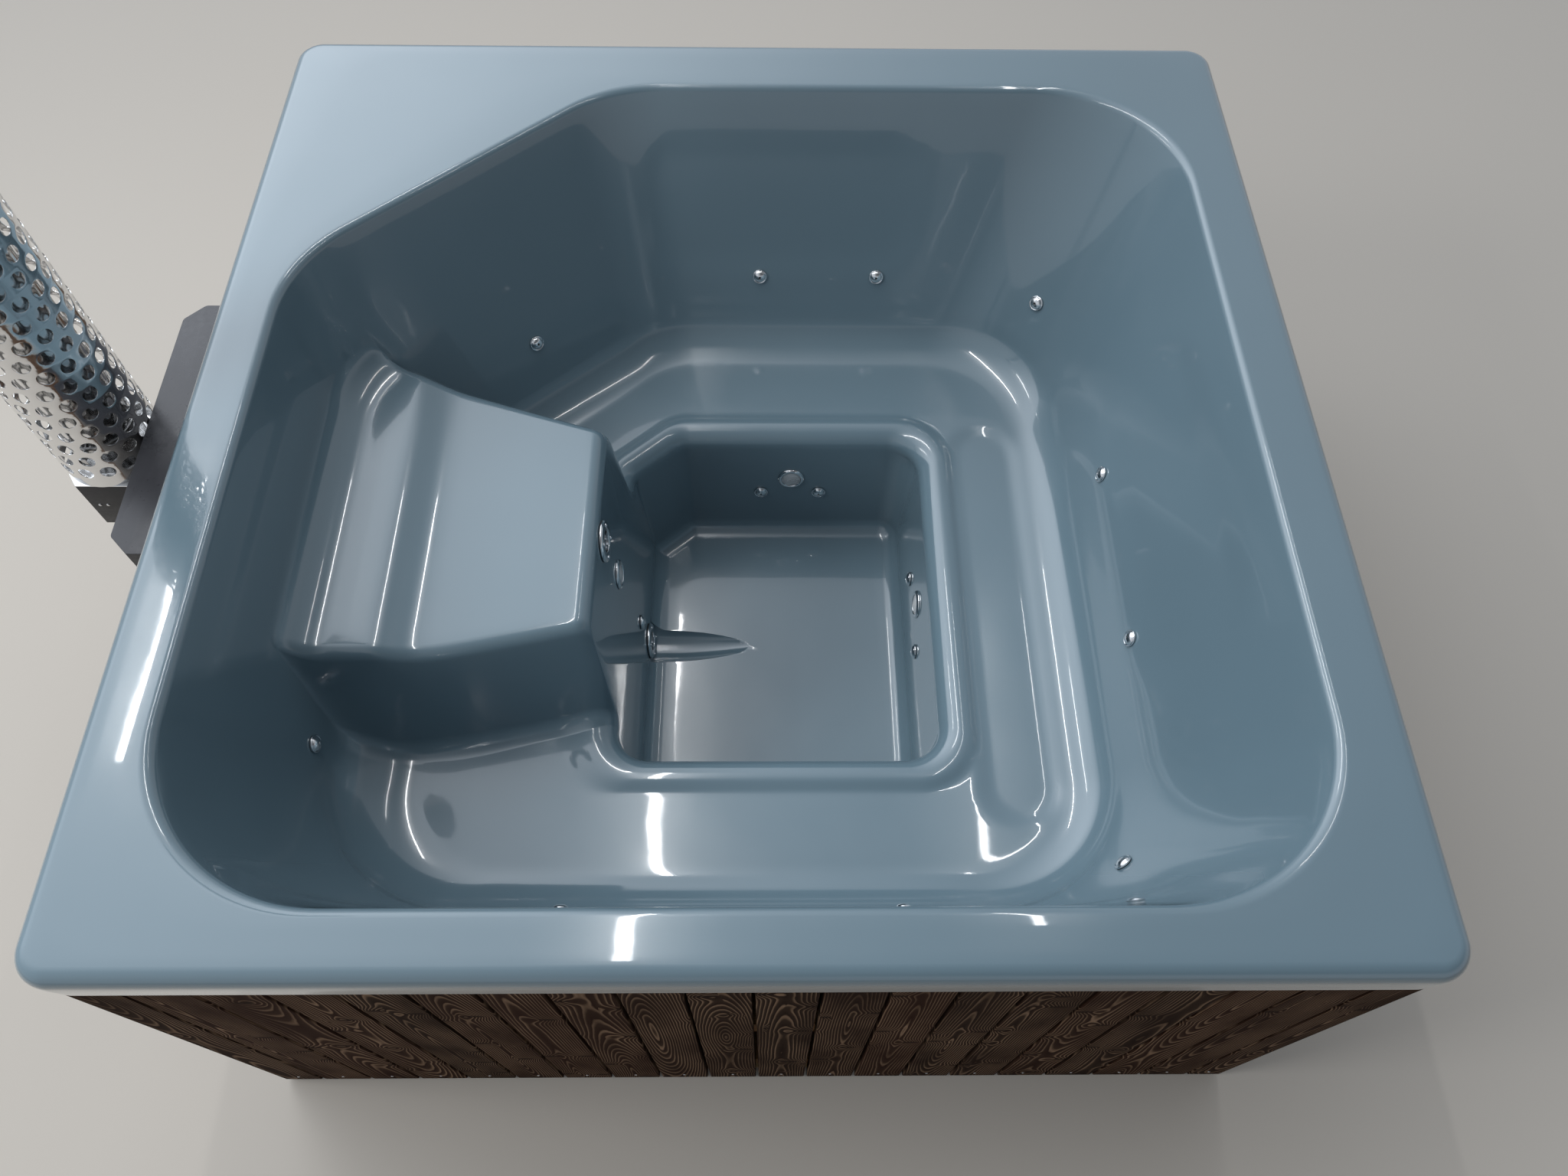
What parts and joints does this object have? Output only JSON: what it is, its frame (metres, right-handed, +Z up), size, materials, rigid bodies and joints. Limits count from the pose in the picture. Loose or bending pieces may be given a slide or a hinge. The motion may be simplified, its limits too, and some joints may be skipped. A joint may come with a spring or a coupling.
{
  "type": "square hot tub",
  "caption": "Square moulded hot tub with bench seats round a footwell, dark timber cladding, and a wood-fired stove with flue and perforated guard on one side.",
  "frame": {"origin": "centre of the tub's square footprint on the floor, at the underside of the base timbers", "axes": "+Z up; +Y to the far side, away from the side with the near bench; -X to the side with the stove and flue"},
  "size_m": [2.3295, 2, 2.357],
  "materials": {
    "gelcoat": "glossy",
    "boards": "oiled",
    "timber": "planed",
    "steel_small": "satin",
    "rubber": "matte",
    "chrome": "polished",
    "pipe": "satin",
    "blower": "matte",
    "lens": "ribbed",
    "jacket": "mill",
    "iron": "matte",
    "casing": "semi gloss",
    "mirror_steel": "mirror polished",
    "air_slide": "satin",
    "handles": "satin",
    "brass": "satin",
    "lever": "gloss"
  },
  "bodies": {
    "tub": {"shell": "gelcoat", "boards_front": "boards", "boards_back": "boards", "boards_left": "boards", "boards_right": "boards", "board_nails": "steel_small", "corner_posts": "timber", "stove_studs": "timber", "top_rails": "timber", "mid_rails": "timber", "base_rails": "timber", "base_joists": "timber", "base_board": "timber", "footwell_pads": "rubber", "bench_props": "timber", "jet_heads": "chrome", "jet_gaskets": "rubber", "jet_nuts": "pipe", "jet_bodies": "pipe", "air_drops": "pipe", "air_main": "pipe", "foot_air_main": "pipe", "blower": "blower", "light_bezels": "chrome", "light_lenses": "lens", "light_housings": "pipe", "light_nuts": "pipe", "port_flanges": "chrome", "port_screws": "steel_small", "port_gaskets": "rubber", "port_nuts": "pipe", "upper_hose": "rubber", "lower_hose": "rubber", "hose_clamps": "steel_small", "water_jacket": "jacket", "jacket_feet": "iron", "fire_grate": "iron", "stove_front": "casing", "stove_plate": "casing", "smoke_box": "casing", "smoke_box_plate": "mirror_steel", "flue_pipe": "mirror_steel", "flue_guard": "mirror_steel", "guard_spacers": "steel_small", "rain_cap": "mirror_steel", "hinge_brackets": "iron", "hinge_pins": "steel_small", "latch_keeper": "iron", "drain_pipe": "pipe", "drain_valve": "brass", "front_rivets": "steel_small"},
    "fire_door_leaf": {"fire_door": "iron", "slide_guides": "iron"},
    "latch": {"door_latch": "handles"},
    "air_shutter": {"air_slide": "air_slide"},
    "ash_box": {"ash_drawer": "jacket", "ash_knob": "handles"},
    "valve_lever": {"drain_lever": "lever"}
  },
  "joints": [
    {"name": "fire_door_hinge", "type": "hinge", "parent": "tub", "child": "fire_door_leaf", "pos_m": [-1.121, 0.181, 0.402], "axis": [0, 0, -1], "range_deg": [0, 110]},
    {"name": "latch_turn", "type": "hinge", "parent": "fire_door_leaf", "child": "latch", "pos_m": [-1.1276, -0.103, 0.402], "axis": [1, 0, 0], "range_deg": [0, 12]},
    {"name": "air_slide_travel", "type": "slide", "parent": "fire_door_leaf", "child": "air_shutter", "axis": [0, 1, 0], "range_m": [0, 0.02]},
    {"name": "ash_drawer_slide", "type": "slide", "parent": "tub", "child": "ash_box", "axis": [-1, 0, 0], "range_m": [0, 0.3]},
    {"name": "drain_lever_turn", "type": "hinge", "parent": "tub", "child": "valve_lever", "pos_m": [-1.037, -0.419, 0.195], "axis": [0, 0, -1], "range_deg": [0, 90]}
  ]
}
